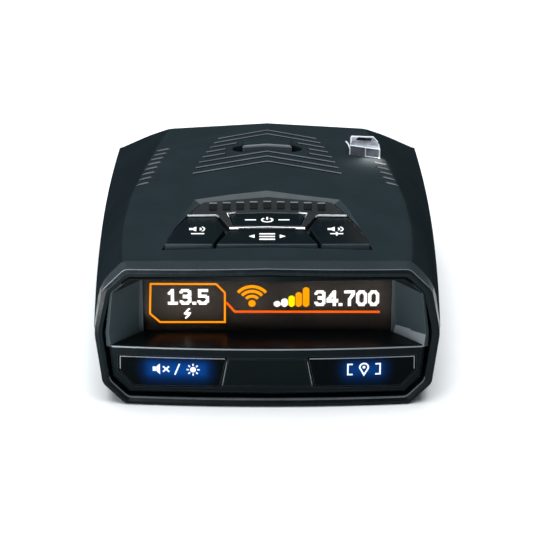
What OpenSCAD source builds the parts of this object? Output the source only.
// Dashboard radar detector: two-piece wedge case, framed display recess at the driver's end,
// a cluster of four keys and a mount release on the roof, and the receiver inside.
// Frame: +Z up, -Y towards the driver (display end), origin at the bottom centre of the case.
// All modules are written in distance from the display end and moved into the frame by place().

/* [Case] */
// Overall length, display end to far end
length = 108; // [106:0.5:112]
// Width across the belt line
width = 81.8; // [80:0.2:84]
// Height at the crown of the roof
height = 37.4; // [37:0.1:38.5]
// Wall thickness of the case mouldings
wall = 2; // [1.8:0.1:2.2]
// Width of the rim round the display end
rim_w = 1.8; // [1.5:0.1:2]
// How far the display end bows back at its sides
bow = 2.1; // [1.5:0.1:2.5]

/* [Keys] */
// Travel of the four roof keys
key_travel = 0.6; // [0.3:0.1:0.7]
// Travel of the two front buttons
button_travel = 0.6; // [0.3:0.1:0.7]
// Clearance round every key and button
key_gap = 0.25; // [0.2:0.05:0.35]
// Height of the key tops
key_top = 36.8; // [36.6:0.1:37]

/* [Mount] */
// Width of the windscreen bracket slot
slot_w = 23; // [20:0.5:24]
// Height of the windscreen bracket slot
slot_h = 4.4; // [4.2:0.1:4.6]
// Travel of the mount release
release_travel = 1.5; // [1.2:0.1:1.8]

/* [Sockets] */
// Radius of the audio socket's bore
audio_r = 1.8; // [1.75:0.05:2]
// Width of the power socket's mouth
power_w = 9.6; // [9:0.1:10]
// Height of the power socket's mouth
power_h = 6.6; // [6:0.1:7]

/* [Hidden] */

$fn = 48;
eps = 0.01;

case_grey = [0.15, 0.18, 0.20];
key_black = [0.03, 0.04, 0.05];
gloss_black = [0.02, 0.02, 0.03];
board_green = [0.05, 0.30, 0.16];
tin = [0.72, 0.73, 0.75];
brass_yellow = [0.78, 0.62, 0.30];

module place() translate([0, -length / 2, 0]) children();

// ---- Outer form, as functions of u, the distance from the display end ----

crown_u = 40;
roof_fall = 0.03;
belt_front_z = 18;
belt_rise = 0.07;
roof_end = length - 12.4;

function lerp(a, b, t) = a + (b - a) * t;
function bow_u(x) = bow * pow(x / 39, 2);
function ridge_z(u) = height - (u < crown_u ? 0.00125 : 0.00147) * pow(u - crown_u, 2);
function roof_z(x, u) = ridge_z(u) - roof_fall * abs(x);
function crease_x(u) =
    u < 20 ? 33.6 - 0.0035 * pow(u - 20, 2) :
    u < 45 ? 33.6 - 0.0027 * pow(u - 20, 2) : 31.9 - 0.135 * (u - 45);
function belt_z(u) = belt_front_z + belt_rise * u;
function belt_x(u) = width / 2 - (u < 52 ? 0.00056 : 0.0009) * pow(u - 52, 2);
// How far the shoulder stands outside a straight flank
function bulge(u) = 0.8 + 2.1 * exp(-(u - 5) / 14);
shoulder = 0.34;

// Half sections, from the ridge down to the belt, inset by w
function ridge_pt(u, w) = [0, u, ridge_z(u) - w];
function crease_pt(u, w) = [crease_x(u) - 0.6 * w, u, roof_z(crease_x(u), u) - w];
function shoulder_pt(u, w) = [
    lerp(crease_x(u), belt_x(u), shoulder) + bulge(u) - w, u,
    lerp(roof_z(crease_x(u), u), belt_z(u), shoulder) - 0.3 * w];
function belt_pt(u, w) = [belt_x(u) - w, u, belt_z(u)];

steps = 12;
front_u = [3.4, 4.9, 5.0, 5.2];
rear_u = [roof_end, roof_end - 3.4, roof_end - 0.2, roof_end + 2.2];

function half_section(t, w) = [
    ridge_pt(lerp(front_u[0], rear_u[0] - w / 2, t), w),
    crease_pt(lerp(front_u[1], rear_u[1] - w / 2, t), w),
    shoulder_pt(lerp(front_u[2], rear_u[2] - w / 2, t), w),
    belt_pt(lerp(front_u[3], rear_u[3] - w / 2, t), w)];

// Outline of the far end at the belt, ridge to flank
function far_plan(w) = [
    [0, length - w], [20 - 0.3 * w, length - 1 - w], [31 - 0.6 * w, length - 4.7 - w],
    [37.4 - w, length - 9.2 - 0.5 * w]];
function far_section(w) = [for (p = far_plan(w)) [p[0], p[1], belt_z(p[1])]];

function mirror_x(p) = [-p[0], p[1], p[2]];
function whole(half) = concat(
    [for (i = [len(half) - 1:-1:1]) mirror_x(half[i])], half);
function drop(loop, dz) = [for (p = loop) [p[0], p[1], p[2] + dz]];

// Closed solid through a list of loops that have the same number of points
module loft(loops) {
    n = len(loops[0]);
    m = len(loops);
    ring = [for (loop = loops) each loop];
    first_mid = [for (k = [0:2]) mean([for (p = loops[0]) p[k]])];
    last_mid = [for (k = [0:2]) mean([for (p = loops[m - 1]) p[k]])];
    sides = [for (j = [0:m - 2]) for (i = [0:n - 1])
        let (a = j * n + i, b = j * n + (i + 1) % n) each [[a, b + n, b], [a, a + n, b + n]]];
    caps = [for (i = [0:n - 1]) each [
        [n * m, i, (i + 1) % n],
        [n * m + 1, n * (m - 1) + (i + 1) % n, n * (m - 1) + i]]];
    polyhedron(concat(ring, [first_mid, last_mid]), concat(sides, caps));
}

function total(v, i = 0) = i < len(v) ? v[i] + total(v, i + 1) : 0;
function mean(v) = total(v) / len(v);

// Closed band through loops, the last of which joins the first
module ring_loft(loops) {
    n = len(loops[0]);
    m = len(loops);
    faces = [for (j = [0:m - 1]) for (i = [0:n - 1])
        let (a = j * n + i, b = j * n + (i + 1) % n,
             c = ((j + 1) % m) * n + i, d = ((j + 1) % m) * n + (i + 1) % n)
        each [[a, b, d], [a, d, c]]];
    polyhedron([for (loop = loops) each loop], faces);
}

// Roof, shoulders and far slope, down to the belt
module upper_form(w = 0, ahead = 0, below = 0) {
    sections = [for (i = [0:steps]) whole(half_section(i / steps, w))];
    lead = ahead > 0 ? [[for (p = sections[0]) [p[0], p[1] - ahead, p[2]]]] : [];
    tail = [whole(far_section(w))];
    loops = concat(lead, sections, tail);
    loft(below > 0 ? [for (s = loops) let (k = len(s) - 1)
        concat([drop([s[0]], -below)[0]], s, [drop([s[k]], -below)[0]])] : loops);
}

// Plan outline of the lower case, inset on its flanks and drawn back at the far end
lower_front_u = 5.2;
flank_steps = 8;
function flank_plan(inset, back) = concat(
    [for (i = [0:flank_steps]) let (t = i / flank_steps, u = lerp(lower_front_u, rear_u[3], t))
        [belt_x(u) - inset, u - t * back]],
    [for (i = [3:-1:0]) let (p = far_plan(0)[i]) [p[0] * (1 - inset / 38), p[1] - back]]);
function plan_loop(half) = concat(
    [for (p = half) p], [for (i = [len(half) - 2:-1:0]) [-half[i][0], half[i][1]]]);
function at_height(plan, z) = [for (p = plan) [p[0], p[1], z]];
function at_belt(plan, dz) = [for (p = plan) [p[0], p[1], belt_z(p[1]) + dz]];

foot_z = 5.2;
module lower_form(w = 0, floor_z = 0, above = 0) {
    loft([
        at_height(plan_loop(flank_plan(6.4 + w, 7 + w)), floor_z),
        at_height(plan_loop(flank_plan(1.4 + w, 4 + w)), foot_z + 0.5 * floor_z),
        at_belt(plan_loop(flank_plan(w, w)), above)]);
}

// ---- Display end ----

// Rim outlines from the top centre to the bottom centre, x and z
rim_outer = [[0, 35.1], [11, 35], [22, 34.7], [32.2, 34.3], [37.3, 29], [39.5, 18.1],
    [37.9, 5], [32.8, 0], [22, 0], [11, 0], [0, 0]];
rim_inner = [[0, 35.1 - rim_w], [11, 35 - rim_w], [22, 34.6 - rim_w], [31.6, 34 - rim_w],
    [37.3 - rim_w, 29 - 0.45 * rim_w], [39.5 - rim_w, 18.1], [37.9 - rim_w, 5.8],
    [32.1, rim_w], [22, rim_w], [11, rim_w], [0, rim_w]];
function case_front() = let (r = ridge_pt(front_u[0], 0), c = crease_pt(front_u[1], 0)) [
    r, lerp(r, c, 1 / 3), lerp(r, c, 2 / 3), c, shoulder_pt(front_u[2], 0),
    belt_pt(front_u[3], 0), [belt_x(5.2) - 1.4, 5.2, foot_z], [belt_x(5.2) - 6.4, 5.2, 0],
    [22, 5.2, 0], [11, 5.2, 0], [0, 5.2, 0]];
function ring_of(half) = concat(half, [for (i = [len(half) - 2:-1:1]) mirror_x(half[i])]);
function bowed(outline, set_back) = [for (p = outline) [p[0], bow_u(p[0]) + set_back, p[1]]];
function flat_at(outline, u) = [for (p = outline) [p[0], u, p[1]]];

module front_bezel() color(case_grey) place() ring_loft([
    ring_of(bowed(rim_outer, 0)),
    ring_of(bowed(rim_inner, 0)),
    ring_of([for (i = [0:len(rim_inner) - 1])
        [rim_inner[i][0], case_front()[i][1] - 0.3, rim_inner[i][1]]]),
    ring_of(case_front())]);

// Prism of an x-z outline along the length
module along(outline, u0, u1) translate([0, u1, 0]) rotate([90, 0, 0])
    linear_extrude(u1 - u0) polygon(outline);

// Everything behind the bowed face, set back by a distance
bow_r = 39 * 39 / (2 * bow);
module behind_face(set_back) translate([0, bow_r + set_back, -1])
    cylinder(r = bow_r, h = 40, $fn = 720);

function both(half) = concat(half, [for (i = [len(half) - 1:-1:0]) [-half[i][0], half[i][1]]]);

shelf_z = 14.9;
window_u = 9.5;
window_x = 28.6;

module display_shroud() color(case_grey) place() difference() {
    intersection() {
        along(both([[36.8, shelf_z], [37, 18.1], [35.2, 27.9], [31.5, 31.9],
            [22, 32.6], [11, 33]]), 0, window_u);
        behind_face(0.5);
    }
    loft([
        flat_at(both([[window_x, shelf_z - 1], [window_x, 28.1], [25.4, 31]]), window_u + 1),
        flat_at(both([[36.4, shelf_z - 1], [35.3, 28.1], [31.3, 31.6]]), -1.2)]);
}

button_outline = [[33.9, 12.3], [34, 8.6], [30.7, 4.8], [10.9, 5.1], [9.4, 12.4]];
center_outline = [[9, 12.3], [10.5, 5.1]];
panel_outline = [[36.9, shelf_z], [36, 6.9], [32, 2.2], [0, 2.2]];

module front_panel() color(gloss_black) place() difference() {
    union() {
        intersection() {
            along(both(panel_outline), 0, 4.4);
            behind_face(0.5);
        }
        intersection() {
            along(both([[36, shelf_z], [36, 13.4]]), 0, window_u - 0.1);
            behind_face(0.5);
        }
    }
    for (side = [-1, 1])
        along([for (p = grown(button_outline, key_gap)) [side * p[0], p[1]]], -1, 6);
    along(both(center_outline), -1, 2.2);
    translate([0, 7.2, 8.4]) cube([13, 8, 4], center = true);
}

// A convex outline moved outwards from its middle by about g on every side
function grown(outline, g) = let (cx = mean([for (p = outline) p[0]]),
    cz = mean([for (p = outline) p[1]]))
    [for (p = outline) [p[0] + g * sign(p[0] - cx), p[1] + g * sign(p[1] - cz)]];

module front_center_plate() color(gloss_black) place()
    along(both([for (p = center_outline) [p[0] - 0.15, p[1] + (p[1] > 8 ? -0.12 : 0.12)]]),
        0.6, 2.2);

board_u = 9.2;
switch_x = 22;
switch_z = 8.4;

module front_button(side) difference() {
    union() {
        intersection() {
            along([for (p = button_outline) [side * p[0], p[1]]], 0, 5.2);
            behind_face(0.5);
        }
        along([for (p = grown(button_outline, 0.45)) [side * p[0], p[1]]], 4.5 + 0.1, 5.6);
        translate([side * switch_x, 5.6, switch_z]) rotate([-90, 0, 0])
            cylinder(d = 3, h = 1.1 - 0.6 + eps);
    }
}

module mute_button() color(key_black) place() front_button(-1);
module mark_button() color(key_black) place() front_button(1);

front_plunger_u = 6.1 + eps;
module front_plunger(side) translate([side * switch_x, front_plunger_u, switch_z])
    rotate([-90, 0, 0]) cylinder(d = 2.4, h = 1.5);
module mute_plunger() color(key_black) place() front_plunger(-1);
module mark_plunger() color(key_black) place() front_plunger(1);

module front_button_board() color(board_green) place() {
    translate([-31, board_u, 3.6]) cube([62, 1, 9.4]);
}

module button_leds() color("white") place()
    for (x = [-29, -16, 16, 29])
        translate([x - 1, board_u - 0.9, switch_z - 0.8]) cube([2, 0.9, 1.6]);

module display_window() color([0.1, 0.1, 0.1, 0.6]) place()
    translate([-30, window_u, shelf_z - 1.3]) cube([60, 0.9, 17.8]);

oled_u = window_u + 1;
module oled_display() color("black") place() {
    translate([-29.5, oled_u, shelf_z - 0.6]) cube([59, 1.6, 16.6]);
}

module display_bracket() color(tin) place() difference() {
    translate([-31.5, oled_u + 1.7, shelf_z - 1.2]) cube([63, 0.8, 17.6]);
    translate([0, oled_u + 2, shelf_z + 7]) cube([30, 4, 9], center = true);
    for (side = [-1, 1])
        translate([side * 30.5, oled_u, shelf_z + 7]) rotate([-90, 0, 0]) cylinder(d = 1, h = 4);
}

module display_flex() color([0.75, 0.45, 0.1]) place() difference() {
    translate([-7, oled_u + 2.6, 12.2]) cube([14, 3.4, 12.8]);
    translate([-8, oled_u + 2.5, 13.4]) cube([16, 3.2, 10.4]);
    translate([-8, oled_u + 5, 23]) cube([16, 3, 3]);
}

// ---- Roof keys ----

// Plan outlines, x and u, right-hand half or right-hand piece
menu_half = [[11.6, 9.8], [8.8, 18.1], [0, 18.5]];
power_half = [[7.6, 20.5], [9, 27.1], [0, 27.7]];
vol_outline = [[12.4, 9.8], [23.5, 9.9], [22.2, 15.4], [20.6, 20.7], [18.8, 25.6],
    [11.8, 25.9], [9.75, 18.8]];
cluster_half = [[24.1, 9.4], [22.8, 15.4], [21.1, 21], [19.2, 26.4], [15.9, 34.2], [0, 37.6]];
badge_half = [[8.6, 18.75], [11.45, 26.15], [18.5, 26.15], [15.3, 33.8], [0, 37.1]];
trim_top = key_top + 0.1;
trim_floor = 34.2;

module plate(half, z0, z1) translate([0, 0, z0]) linear_extrude(z1 - z0)
    polygon(both([for (p = half) p]));
module piece(outline, side, z0, z1) translate([0, 0, z0]) linear_extrude(z1 - z0)
    polygon([for (p = outline) [side * p[0], p[1]]]);
function fringe(half, g) = let (cy = mean([for (p = half) p[1]]))
    [for (p = half) [p[0] > 0 ? p[0] + g : 0, p[1] + g * sign(p[1] - cy)]];

module key_apertures(g, z0, z1) {
    plate(fringe(menu_half, g), z0, z1);
    plate(fringe(power_half, g), z0, z1);
    for (side = [-1, 1])
        piece(grown(vol_outline, g), side, z0, z1);
}

module keypad_trim() color([0.12, 0.13, 0.14]) place() difference() {
    union() {
        plate(fringe(cluster_half, -0.08), trim_floor, trim_floor + 1);
        plate(badge_half, trim_floor, trim_top);
    }
    key_apertures(key_gap, trim_floor - 1, trim_top + 1);
}

rib_count = 9;
module badge_ribs() color("silver") place()
    for (i = [0:rib_count - 1])
        let (x = (i - (rib_count - 1) / 2) * 3.2)
            translate([x - 0.9, 29.6 - 0.08 * abs(x), trim_top]) cube([1.8, 4.4, 0.35]);

key_base = 33.2;
plunger_z = 30.6;
power_switch = [0, 23.9];
menu_switch = [0, 17];
vol_switch = [16, 19];

// Stem that reaches from a key down to its switch
module stem(at, side = 1) translate([side * at[0], at[1], plunger_z + 1])
    cylinder(d = 3, h = key_base - plunger_z - 1 + eps);

module power_button() color(key_black) place() {
    plate(power_half, key_base, key_top);
    plate(fringe(power_half, 0.6), key_base, trim_floor - 0.1);
    stem(power_switch);
}

module menu_button() color(key_black) place() {
    plate(menu_half, key_base, key_top);
    plate([[11.4, 10], [9.1, 18.8], [0, 19.2]], key_base, trim_floor - 0.1);
    stem(menu_switch);
}

module vol_button(side) {
    piece(vol_outline, side, key_base, key_top);
    piece([[13, 12], [23, 12], [20.8, 23], [13, 23]], side, key_base, trim_floor - 0.1);
    stem(vol_switch, side);
}
module vol_down_button() color(key_black) place() vol_button(-1);
module vol_up_button() color(key_black) place() vol_button(1);

module key_plunger(at, side = 1) translate([side * at[0], at[1], plunger_z - 0.9])
    cylinder(d = 2.4, h = 1.9);
module power_plunger() color(key_black) place() key_plunger(power_switch);
module menu_plunger() color(key_black) place() key_plunger(menu_switch);
module vol_down_plunger() color(key_black) place() key_plunger(vol_switch, -1);
module vol_up_plunger() color(key_black) place() key_plunger(vol_switch, 1);

keypad_z = 26.6;
module keypad_board() color(board_green) place() difference() {
    translate([-23, 14, keypad_z]) cube([46, 20, 1]);
    for (side = [-1, 1])
        translate([side * 20.5, 31.6, keypad_z - 1]) cylinder(d = 2.2, h = 3);
}

module keypad_flex() color([0.75, 0.45, 0.1]) place()
    translate([-4, 31, 10.6]) cube([8, 0.5, keypad_z - 10.6]);

// Switch bodies, hollow for their plungers
switch_h = 2.4;
module switch_body() difference() {
    translate([-3, -3, 0]) cube([6, 6, switch_h]);
    translate([0, 0, 0.6]) cylinder(d = 2.7, h = 3);
}
module tact_switches() color([0.25, 0.25, 0.27]) place() {
    for (at = [power_switch, menu_switch, vol_switch, [-vol_switch[0], vol_switch[1]]])
        translate([at[0], at[1], keypad_z + 1]) switch_body();
    for (side = [-1, 1])
        translate([side * switch_x, board_u, switch_z]) rotate([90, 0, 0]) switch_body();
}

// ---- Roof details ----

rib_pitch = 3.97;
chevron_rise = 7.4;
chevron_first = 52.1;
function chevron_end(i) = [18.1 - 0.6 * i - 0.03 * i * i, chevron_first + rib_pitch * i];

// How far from the ridge a groove stops, to stay clear of the mount release
function chevron_clear(i) = i == 5 ? 7.6 : i == 3 || i == 4 ? 10.4 : 0;

// One V-shaped groove across the ridge
module chevron(i) difference() {
    e = chevron_end(i);
    peak = e[1] + chevron_rise;
    slope = atan(2 * 0.00147 * (peak - 3 - crown_u));
    translate([0, peak, ridge_z(peak)]) rotate([-slope, 0, 0]) translate([0, -peak, -0.45])
        linear_extrude(2) polygon(both([[0, peak - 0.45], [e[0], e[1] - 0.45],
            [e[0] - 0.1, e[1] + 0.45], [0, peak + 0.45]]));
    if (chevron_clear(i) > 0) translate([-chevron_clear(i), 0, 30]) cube([2 * chevron_clear(i), length, 10]);
}

// Row of short slanted slots beside each shoulder
vent_count = 8;
module vents(side, count) for (i = [0:count - 1])
    let (u = lerp(46, 71, i / (vent_count - 1)), x = lerp(30.2, 26.2, i / (vent_count - 1)))
        translate([side * x, u, roof_z(x, u) - 0.9]) rotate([0, 0, side * -30])
            translate([-1.6, -0.5, 0]) cube([3.2, 1, 3]);

release_u = 71;
module release_slot() for (side = [-1, 1]) hull() {
    translate([side * 5.6, release_u - 0.3, 32]) cylinder(r = 3.2, h = 8, $fn = 32);
    translate([0, release_u + 0.8, 32]) cylinder(r = 3.2, h = 8, $fn = 32);
}

lens_outline = [[20.6, 66.8], [24.6, 65.2], [28.2, 63.9], [28.1, 67.6], [27, 72], [20.9, 72.6]];
socket_front = 84;
slot_z = 26.3;
socket_wall = 1.2;

module top_case() color(case_grey) place() difference() {
    union() {
        difference() {
            upper_form();
            upper_form(w = wall, ahead = 6, below = 3);
        }
        for (side = [-1, 1]) {
            translate([side * 28, 24, 14.5]) cylinder(d = 6, h = 20);
            translate([side * 25, 84, 14.5]) cylinder(d = 6, h = 17.5);
            translate([side * 20.5, 31.6, keypad_z + 1]) cylinder(d = 4.4, h = 8);
        }
    }
    plate([for (p = cluster_half) p], 30, 40);
    for (i = [0:7]) chevron(i);
    vents(-1, vent_count);
    vents(1, 5);
    release_slot();
    translate([0, 0, 30]) linear_extrude(10) polygon(lens_outline);
    translate([-slot_w / 2, socket_front + 5, slot_z]) cube([slot_w, 30, slot_h]);
    for (side = [-1, 1]) {
        translate([side * 28, 24, 10]) cylinder(d = 2.3, h = 20);
        translate([side * 25, 84, 10]) cylinder(d = 2.3, h = 18);
        translate([side * 20.5, 31.6, 20]) cylinder(d = 1.6, h = 14);
    }
}

grille_u = 44;
module bottom_case() color(case_grey) place() difference() {
    union() {
        difference() {
            lower_form();
            intersection() {
                lower_form(w = wall, floor_z = wall, above = 3);
                translate([-60, 0, 0]) cube([120, length, 60]);
            }
            translate([-31.5, 0, wall]) cube([63, 9, 40]);
            translate([-37, 0, 5.4]) cube([74, 8, 40]);
        }
        for (side = [-1, 1]) {
            translate([side * 28, 24, 0]) cylinder(d = 6.4, h = 14.4);
            translate([side * 25, 84, 0]) cylinder(d = 6.4, h = 14.4);
            translate([side * 27, 38, 1]) cylinder(d = 4.6, h = 8);
            translate([side * 25, 92, 1]) cylinder(d = 4.6, h = 8);
        }
    }
    for (side = [-1, 1]) {
        for (at = [[28, 24], [25, 84]]) {
            translate([side * at[0], at[1], -1]) cylinder(d = 2.8, h = 20);
            translate([side * at[0], at[1], -1]) cylinder(d = 5, h = 11);
        }
        for (at = [[27, 38], [25, 92]])
            translate([side * at[0], at[1], 3]) cylinder(d = 1.6, h = 8);
    }
    for (k = [-4:4])
        translate([k * 2.6 - 0.6, grille_u - sqrt(144 - pow(k * 2.6, 2)), -1])
            cube([1.2, 2 * sqrt(144 - pow(k * 2.6, 2)), 4]);
    translate([-20, 64, -1]) cube([40, 18, 1.4]);
    translate([0, length, 14.2]) cube([53, 26, 12.4], center = true);
    translate([-50, power_u - power_w / 2 - 0.2, power_z - power_h / 2 - 0.2])
        cube([20, power_w + 0.4, power_h + 0.4]);
    translate([-50, usb_u - 4.2, usb_z - 1.7]) cube([20, 8.4, 3.4]);
    translate([30, audio_u, audio_z]) rotate([0, 90, 0]) cylinder(d = 6.4, h = 20);
}

// ---- Boards and receiver ----

board_z = 9;
module main_board() color(board_green) place() difference() {
    translate([-31, 17, board_z]) cube([62, 78, 1.2]);
    for (side = [-1, 1]) {
        translate([side * 28, 24, board_z - 1]) cylinder(d = 7, h = 4);
        translate([side * 25, 84, board_z - 1]) cylinder(d = 7, h = 4);
        translate([side * 27, 38, board_z - 1]) cylinder(d = 2.4, h = 4);
        translate([side * 25, 92, board_z - 1]) cylinder(d = 2.4, h = 4);
    }
}

module screw(length, head_d = 4, d = 2) {
    rotate_extrude() polygon([[0, 0], [head_d / 2, 0], [head_d / 2, 1.1], [d / 2, 1.5],
        [d / 2, length - 0.6], [d / 4, length], [0, length]]);
}

module drive_cut(z) translate([0, 0, z]) {
    cube([2.4, 0.5, 1.4], center = true);
    cube([0.5, 2.4, 1.4], center = true);
}

module board_screws() color(tin) place()
    for (side = [-1, 1]) for (at = [[27, 38], [25, 92]])
        translate([side * at[0], at[1], board_z + 1.2]) difference() {
            union() {
                cylinder(d = 4, h = 1.3);
                translate([0, 0, -6.2]) cylinder(d = 1.56, h = 6.3);
            }
            drive_cut(1.3);
        }

module case_screws() color(tin) place()
    for (side = [-1, 1]) for (at = [[28, 24], [25, 84]])
        translate([side * at[0], at[1], 8.5]) difference() {
            screw(16, head_d = 4.4, d = 2.2);
            drive_cut(0);
        }

module processor_shield() color(tin) place() difference() {
    translate([-12, 36, board_z + 1.2]) cube([24, 20, 2.4]);
    translate([-11.7, 36.3, board_z + 1]) cube([23.4, 19.4, 2.3]);
}

module filter_capacitors() color([0.2, 0.2, 0.35]) place()
    for (i = [0:2])
        translate([20, 40 + 8 * i, board_z + 1.2]) cylinder(d = 6, h = 7);

horn_u = 66;
horn_mouth = [24, 9];
horn_throat = [10, 5];
horn_z = 15.9;
// Four-sided horn, open towards the far end
module horn_solid(w, u0, u1, throat, mouth) hull() {
    translate([0, u0, horn_z]) cube([throat[0] + w, eps, throat[1] + w], center = true);
    translate([0, u1, horn_z]) cube([mouth[0] + w, eps, mouth[1] + w], center = true);
}
module horn_antenna() color(tin) place() difference() {
    union() {
        horn_solid(2, horn_u, length - 13, horn_throat, horn_mouth);
        translate([0, horn_u - 4, horn_z]) cube([16, 10, 8], center = true);
    }
    horn_solid(0, horn_u - 0.5, length - 12.9, horn_throat, horn_mouth);
    translate([0, horn_u - 3, horn_z]) cube([10, 6, 5], center = true);
}

module rf_board() color(board_green) place()
    translate([-13, 50, 14.9]) cube([26, 6.5, 1]);
module rf_shield() color(tin) place()
    translate([-12, 50.4, 15.9]) cube([24, 5.8, 4]);

module gps_antenna() color([0.8, 0.75, 0.65]) place() {
    translate([-9, 44, 30.2]) cube([18, 18, 4]);
    translate([-11, 42, 29.2]) cube([22, 22, 1]);
}

// Clear prism that stands through the roof, on a flange that lies under it
lens_mid = [24.4, 68.6];
function lens_plan(sx, su) = [for (p = lens_outline)
    [lerp(lens_mid[0], p[0], sx), lerp(lens_mid[1], p[1], su)]];
module laser_lens() color([0.8, 0.85, 0.9, 0.4]) place() {
    translate([19.9, 63.9, 31.4]) cube([6.3, 9.2, 1]);
    difference() {
        hull() {
            translate([0, 0, 32.3]) linear_extrude(0.1) polygon(lens_plan(0.95, 0.96));
            translate([0, 0, 38.6]) linear_extrude(0.1) polygon(lens_plan(0.9, 0.8));
        }
        translate([24.3, 69.2, 38.9]) cube([3.6, 2.4, 1.6], center = true);
    }
}

module top_laser_sensor() color("black") place() {
    translate([21.4, 65.6, 26.8]) cube([6, 6, 3]);
    translate([24.4, 68.6, 29.8]) cylinder(d = 4, h = 1.4);
}

module rear_window() color([0.25, 0.02, 0.04, 0.8]) place() intersection() {
    translate([0, length - 3, 14.2]) cube([52.6, 12, 12], center = true);
    difference() {
        lower_form(w = 0.3);
        lower_form(w = 2.8, floor_z = -1, above = 1);
    }
}

module forward_laser_sensor() color("black") place() {
    translate([17, 92.6, board_z + 1.2]) cube([6, 4, 7]);
    translate([20, 96.6, board_z + 5]) rotate([-90, 0, 0]) cylinder(d = 4, h = 1.2);
}

// ---- Speaker, facing down through the grille ----

module speaker_gasket() color([0.1, 0.1, 0.1]) place() translate([0, grille_u, wall])
    difference() {
        cylinder(d = 30, h = 0.8);
        translate([0, 0, -1]) cylinder(d = 25, h = 3);
    }
module speaker_frame() color([0.2, 0.2, 0.22]) place() translate([0, grille_u, wall + 0.8])
    rotate_extrude() polygon([[12.5, 0], [15, 0], [15, 1], [13.4, 1], [9, 3.6], [8.2, 3.6],
        [8.2, 3], [8.8, 3], [12.5, 0.8]]);
module speaker_cone() color([0.05, 0.05, 0.05]) place() translate([0, grille_u, wall + 0.8])
    rotate_extrude() polygon([[0, 1.6], [3, 1.4], [4, 2.2], [10.5, 0.3], [12.2, 0.3],
        [12.2, 0.6], [10.5, 0.6], [4, 2.5], [3, 1.7], [0, 1.9]]);
module speaker_magnet() color(tin) place() translate([0, grille_u, wall + 0.8 + 3.6])
    cylinder(d = 17, h = 2.4);

// ---- Sockets on the lower side walls ----

power_u = 70;
power_z = 14.6;
usb_u = 54;
usb_z = 11.9;
audio_u = 66;
audio_z = 13.6;
jack_face = 36.9;
audio_face = 39;
audio_depth = 12.5;

module power_jack() color([0.06, 0.06, 0.07]) place() difference() {
    translate([-jack_face, power_u - power_w / 2 - 1.4, power_z - power_h / 2 - 1])
        cube([15, power_w + 2.8, power_h + 2]);
    translate([-jack_face - 1, power_u - power_w / 2, power_z - power_h / 2])
        cube([13.5, power_w, power_h]);
    for (i = [-1.5:1.5])
        translate([-jack_face + 4, power_u + i * 1.3 - 0.2, power_z + power_h / 2 - 0.1])
            cube([8, 0.4, 0.6]);
}

module usb_port() color(tin) place() difference() {
    translate([-jack_face, usb_u - 4, usb_z - 1.6]) cube([9, 8, 3.2]);
    translate([-jack_face - 1, usb_u - 3.6, usb_z - 1.2]) cube([9, 7.2, 2.4]);
}

module audio_jack() color([0.06, 0.06, 0.07]) place() difference() {
    union() {
        translate([audio_face - 14, audio_u - 3.2, board_z + 1.25]) cube([12, 6.4, 6.6]);
        translate([audio_face - 2 - eps, audio_u, audio_z]) rotate([0, 90, 0])
            cylinder(d = 6, h = 2 + eps);
    }
    translate([audio_face - audio_depth, audio_u, audio_z]) rotate([0, 90, 0])
        cylinder(r = audio_r, h = audio_depth + 1);
}

// ---- Windscreen bracket socket and its release ----

module mount_socket() color(case_grey) place() difference() {
    intersection() {
        translate([-slot_w / 2 - socket_wall, socket_front - socket_wall, slot_z - socket_wall])
            cube([slot_w + 2 * socket_wall, 22, slot_h + 2 * socket_wall]);
        upper_form(w = wall + 0.15, below = 8);
    }
    translate([-slot_w / 2, socket_front, slot_z]) cube([slot_w, 30, slot_h]);
    translate([-3.6, socket_front + 0.4, slot_z - 3]) cube([7.2, 3.2, 4]);
}

release_top = 37.4;
arm_z = 23.5;
arm_h = 1.4;
hook_h = 1.5;
// Bar through the roof, post, arm under the bracket socket and the hook on its end
module release_button() color(case_grey) place() {
    plate([[0, 69.1], [6.2, 68], [6.2, 73.3], [0, 74.4]], 32.2, release_top);
    translate([-7.4, 67.4, 31.2]) cube([14.8, 7, 1.2]);
    translate([-2.5, 69.6, arm_z]) cube([5, 3, 8]);
    translate([-3, 69.6, arm_z]) cube([6, 17.6, arm_h]);
    translate([-3, socket_front + 0.8, arm_z]) cube([6, 2.4, slot_z - arm_z + hook_h]);
}

spring_turns = 3.5;
spring_u = 77.5;
spring_foot = 20.3;
spring_r = 2;
wire_r = 0.22;
function coil_ring(a) = let (z = spring_foot + wire_r
        + (arm_z - spring_foot - 2 * wire_r) * a / (360 * spring_turns))
    [for (b = [0:45:315]) [(spring_r + wire_r * cos(b)) * cos(a),
        spring_u + (spring_r + wire_r * cos(b)) * sin(a), z + wire_r * sin(b)]];
module release_spring() color(tin) place()
    loft([for (a = [360 * spring_turns:-24:0]) coil_ring(a)]);

module label_plate() color("silver") place()
    translate([-19.8, 64.2, 0.05]) cube([39.6, 17.6, 0.35]);

top_case();
bottom_case();
front_bezel();
display_shroud();
front_panel();
front_center_plate();
display_window();
oled_display();
display_bracket();
display_flex();
front_button_board();
button_leds();
keypad_trim();
badge_ribs();
keypad_board();
keypad_flex();
tact_switches();
main_board();
processor_shield();
filter_capacitors();
board_screws();
case_screws();
horn_antenna();
rf_board();
rf_shield();
gps_antenna();
laser_lens();
top_laser_sensor();
rear_window();
forward_laser_sensor();
speaker_frame();
speaker_cone();
speaker_magnet();
speaker_gasket();
power_jack();
audio_jack();
usb_port();
mount_socket();
label_plate();
release_spring();
release_button();
power_button();
menu_button();
vol_down_button();
vol_up_button();
mute_button();
mark_button();
power_plunger();
menu_plunger();
vol_down_plunger();
vol_up_plunger();
mute_plunger();
mark_plunger();
